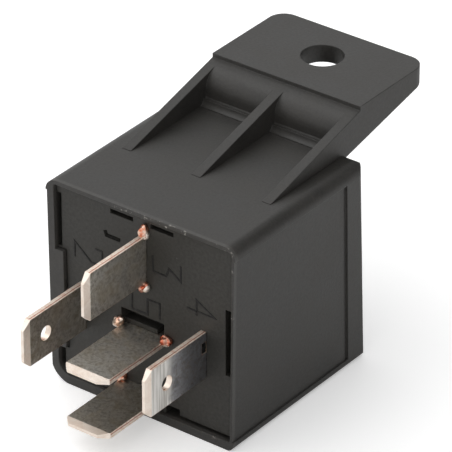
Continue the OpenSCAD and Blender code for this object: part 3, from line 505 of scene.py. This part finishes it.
FINISHES = {
    "cover": COVER, "cover_bracket": COVER, "base": BASE,
    "terminal_common": blade_finish("terminal_common", "common blade plate", X_AXIS, 0.46),
    "terminal_coil_left": blade_finish("terminal_coil_left", "left coil blade plate", X_AXIS, 0.44),
    # The right coil blade carries a painted sheen from its tip back past its hole.
    "terminal_coil_right": blade_finish(
        "terminal_coil_right", "right coil blade plate", X_AXIS, 0.34, PAINTED_SHEEN_END),
    "terminal_normally_closed": blade_finish(
        "terminal_normally_closed", "closed blade plate", Z_AXIS, 0.46),
    "terminal_normally_open": blade_finish(
        "terminal_normally_open", "open blade plate", Z_AXIS, 0.44),
    "yoke": STEEL, "core": STEEL, "armature": STEEL, "bobbin": NYLON,
    "coil_winding": wound_wire("enamelled winding"), "coil_leads": COPPER,
    "coil_tape": tape_film("amber tape"), "contact_spring": BRONZE,
    "spring_rivets": BRIGHT, "return_spring": BRIGHT, "moving_contact": SILVER,
    "fixed_contact_open": SILVER, "fixed_contact_closed": SILVER,
    "current_braid": woven_copper("woven copper"),
    "suppression_resistor": banded_resistor("resistor lacquer", resistor_x, RESISTOR_BODY),
}


def place(piece):
    """Puts a new object into the scene."""
    bpy.context.scene.collection.objects.link(piece)
    return piece


def dress(piece, finish):
    """Gives a piece its one material."""
    piece.data.materials.clear()
    piece.data.materials.append(finish)


for name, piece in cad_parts.items():
    dress(piece, FINISHES[name])


# ------------------------------------------------------------------ staking beads


def close_mesh(grown, name, finish):
    """A finished piece from a bmesh, riding on the still body."""
    bmesh.ops.recalc_face_normals(grown, faces=grown.faces)
    mesh = bpy.data.meshes.new(name)
    grown.to_mesh(mesh)
    grown.free()
    piece = place(bpy.data.objects.new(name, mesh))
    dress(piece, finish)
    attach(piece, STILL)
    return piece


def staking_bead(name, centre, size, lobes, seed, finish):
    """A lump of metal upset by a punch: round lobes run together, flat towards the base."""
    grown = bmesh.new()
    bmesh.ops.create_icosphere(grown, subdivisions=4, radius=1.0)
    for point in grown.verts:
        way = point.co.normalized()
        swell = sum(0.3 * max(0.0, way.dot(lobe)) ** 3 for lobe in lobes)
        lump = noise.noise(way * 1.9 + Vector((seed, 0.0, seed))) * 0.22
        reach = way * (0.86 + swell + lump)
        spot = centre + Vector(reach[i] * size[i] / 2 for i in range(3))
        spot.y = min(spot.y, -0.02 * MM)
        point.co = spot
    for face in grown.faces:
        face.smooth = True
    return close_mesh(grown, name, finish)


def stake(node, label, axis, beads):
    """The beads at the root of one terminal, past the two edges of its blade.

    Each bead has a side, its way past the edge, its lift off the sheet, its length and a finish,
    with lengths in millimetres.
    """
    low, high = blade_box(node)
    middle = (low + high) / 2
    across = Vector(axis)
    up = Vector((across.z, 0.0, across.x))
    for side, past, lift, tall, finish in beads:
        edge = (high - low).dot(across) / 2
        root = Vector((middle.x, -0.34 * MM, middle.z))
        centre = root + across * side * (edge + past * MM) + up * lift * MM
        size = Vector((1.3, 1.35, 1.3)) * MM + across * (tall - 1.3) * MM
        lobes = [across * side, Vector((0.0, -1.0, 0.0)), (up - across * side).normalized()]
        name = f"{label}_bead_{'low' if side < 0 else 'high'}"
        staking_bead(name, centre, size, lobes, side * 3 + len(label), finish)


stake("terminal_common", "common", Z_AXIS,
      [(-1, 0.4, 0.25, 1.25, STAKED_RED), (1, 0.8, 0.35, 1.85, STAKED)])
stake("terminal_normally_closed", "closed", X_AXIS,
      [(-1, 0.14, 0.94, 1.3, STAKED_PALE), (1, 0.59, 0.83, 1.6, STAKED_RED)])
stake("terminal_normally_open", "open", X_AXIS,
      [(-1, -0.2, 0.7, 1.25, STAKED), (1, 0.4, 0.55, 1.4, STAKED)])


def notch_painted_shade(node, label):
    """Base plastic pressed into the staking notch of a coil blade, coloured near-black as painted
    shade for the dark hollow of the notch.
    """
    low, high = blade_box(node)
    middle = (low + high) / 2
    grown = bmesh.new()
    bmesh.ops.create_cube(grown, size=1.0)
    bmesh.ops.scale(grown, vec=(0.66 * MM, 0.86 * MM, 1.5 * MM), verts=grown.verts)
    bmesh.ops.bevel(
        grown, geom=grown.edges[:], offset=0.12 * MM, segments=2, affect="EDGES", profile=0.5)
    bmesh.ops.subdivide_edges(grown, edges=grown.edges[:], cuts=2, use_grid_fill=True)
    centre = Vector((middle.x, -0.38 * MM, middle.z + 1.175 * MM))
    for point in grown.verts:
        swell = 1.0 + 0.06 * noise.noise(point.co * 1700.0)
        point.co = centre + point.co * swell
    for face in grown.faces:
        face.smooth = True
    close_mesh(grown, label, PAINTED_SHADE)


# Painted shade in the staking notches of both coil blades.
notch_painted_shade("terminal_coil_left", "coil_left_pressed_plastic")
notch_painted_shade("terminal_coil_right", "coil_right_pressed_plastic")


# ------------------------------------------------------------------ terminal numbers

# Each numeral is drawn in a box one unit wide and one unit high
NUMERALS = {
    1: [(0.0, 0.0), (0.7, 0.08), (0.7, 1.0)],
    2: [(0.0, 0.75), (0.0, 1.0), (1.0, 1.0), (1.0, 0.62), (0.0, 0.0), (1.0, 0.0)],
    3: [(0.0, 1.0), (1.0, 1.0), (0.45, 0.58), (1.0, 0.48), (1.0, 0.0), (0.0, 0.0)],
    4: [(0.72, 0.0), (0.72, 1.0), (0.0, 0.34), (1.0, 0.34)],
    5: [(1.0, 1.0), (0.0, 1.0), (0.0, 0.56), (1.0, 0.56), (1.0, 0.0), (0.0, 0.0)],
}


def ribbon(points, width):
    """The two sides of a stroke of even width along a bent line, mitred at its corners."""
    left, right = [], []
    for i, point in enumerate(points):
        before = (point - points[i - 1]).normalized() if i else None
        after = (points[i + 1] - point).normalized() if i + 1 < len(points) else None
        along = ((before or after) + (after or before)).normalized()
        square = Vector((-along.y, along.x))
        reach = width / 2 / max(0.35, along.dot(after or before))
        left.append(point + square * reach)
        right.append(point - square * reach)
    return left, right


def numeral(number, foot_x, foot_z, length, breadth, width, proud, finish):
    """A raised numeral on the base, lying on its side with its top to the right."""
    points = [Vector((x, y)) for x, y in NUMERALS[number]]
    turned = [Vector((foot_x + p.y * length, foot_z - p.x * breadth)) for p in points]
    left, right = ribbon(turned, width)
    grown = bmesh.new()
    levels = []
    for y, inset in ((0.03 * MM, 0.0), (-proud * 0.6, 0.0), (-proud, 0.25)):
        rows = []
        for a, b in zip(left, right):
            rows.append((a.lerp(b, inset / 2), b.lerp(a, inset / 2)))
        levels.append([[grown.verts.new((q.x, y, q.y)) for q in pair] for pair in rows])
    for below, above in zip(levels, levels[1:]):
        for side in (0, 1):
            for i in range(len(left) - 1):
                grown.faces.new(
                    [below[i][side], below[i + 1][side], above[i + 1][side], above[i][side]])
        for i in (0, -1):
            grown.faces.new([below[i][0], below[i][1], above[i][1], above[i][0]])
    for level in (levels[0], levels[-1]):
        for a, b in zip(level, level[1:]):
            grown.faces.new([a[0], a[1], b[1], b[0]])
    return close_mesh(grown, f"number_{number}", finish)


def number_base():
    """The five terminal numbers, each beside its own blade."""
    proud = 0.07 * MM
    common = blade_box("terminal_common")
    closed = blade_box("terminal_normally_closed")
    right_coil = blade_box("terminal_coil_right")
    # Numeral 1 is near-black: painted shade of a deep moulded stroke, drawn as a raised strip.
    numeral(1, common[0].x - 5.25 * MM, common[1].z - 1.3 * MM,
            2.2 * MM, 0.85 * MM, 0.5 * MM, proud, PAINTED_SHADE)
    thin_numerals = {
        2: (common[0].x - 9.9 * MM, common[0].z + 1.85 * MM),
        3: (common[1].x + 1.0 * MM, common[0].z + 4.1 * MM),
        5: (closed[0].x + 1.6 * MM, closed[1].z + 4.9 * MM),
        4: (right_coil[0].x - 2.0 * MM, right_coil[1].z + 3.9 * MM),
    }
    # Numerals 2 to 5 stand proud like moulded relief; their darker colour is painted shade.
    for number, (foot_x, foot_z) in thin_numerals.items():
        numeral(number, foot_x, foot_z, 4.1 * MM, 2.1 * MM, 0.26 * MM, proud, RELIEF_SHADE)


number_base()


# ------------------------------------------------------------------ stage


FLOOR_HALF = 3.0
FLOOR_GAP = 0.02 * MM
DARK_SIDE = Vector((0.55, 0.62, 0.56)).normalized()
BRIGHT_PANEL = Vector((-0.516, -0.102, 0.85)).normalized()
VIEW_PLACE = Vector((278.36, -351.94, 280.26)) * MM
VIEW_DOWN = 30.88  # degrees below level
VIEW_ROUND = 37.09  # degrees round from straight on


def studio_floor():
    """A pale floor that keeps the soft shadow."""
    grid = bmesh.new()
    bmesh.ops.create_grid(grid, x_segments=8, y_segments=8, size=FLOOR_HALF)
    mesh = bpy.data.meshes.new("studio floor")
    grid.to_mesh(mesh)
    grid.free()
    floor = place(bpy.data.objects.new("studio_floor", mesh))
    floor.location = (0.0, 0.0, cad_low[2] - FLOOR_GAP)
    made, s, shader = new_material("floor paint", Specular_IOR_Level=0.0)
    where = s.add("ShaderNodeTexCoord").outputs["Object"]
    paint = s.mix(s.noise(where, 3.0), (0.97, 0.97, 0.97, 1.0), (0.98, 0.98, 0.98, 1.0))
    s.put(shader, "Base Color", paint)
    s.put(shader, "Roughness", 1.0)
    seen = s.add("ShaderNodeLightPath").outputs["Is Camera Ray"]
    s.put(shader, "Emission Color", (1.0, 1.0, 1.0, 1.0))
    s.put(shader, "Emission Strength", s.math("MULTIPLY", seen, 0.33))
    dress(floor, made)


def studio_light():
    """A white room with a brighter overhead panel and one dark side, at the back right."""
    world = bpy.data.worlds.new("studio")
    world.use_nodes = True
    bpy.context.scene.world = world
    s = Sheet(world.node_tree)
    backdrop = world.node_tree.nodes["Background"]
    towards = s.add("ShaderNodeTexCoord").outputs["Generated"]
    dark_side = s.vector("DOT_PRODUCT", towards, tuple(DARK_SIDE))
    panel = s.vector("DOT_PRODUCT", towards, tuple(BRIGHT_PANEL))
    room = s.mix(s.ramp(dark_side, 0.55, 0.95), (1.0, 1.0, 1.0, 1.0), (0.12, 0.12, 0.12, 1.0))
    lit = s.mix(s.ramp(panel, 0.86, 0.97), room, (1.9, 1.9, 1.9, 1.0))
    seen = s.add("ShaderNodeLightPath").outputs["Is Camera Ray"]
    s.put(backdrop, "Color", s.mix(seen, lit, (1.0, 1.0, 1.0, 1.0)))
    s.put(backdrop, "Strength", 1.0)


def camera():
    """A long lens from the front right, above."""
    data = bpy.data.cameras.new("camera")
    data.sensor_width = 36.0
    data.lens = 358.25
    data.clip_end = 20.0
    view = place(bpy.data.objects.new("camera", data))
    view.location = VIEW_PLACE
    view.rotation_euler = (math.radians(90 - VIEW_DOWN), 0.0, math.radians(VIEW_ROUND))
    bpy.context.scene.camera = view


studio_floor()
studio_light()
camera()
bpy.context.scene.view_settings.view_transform = "Standard"
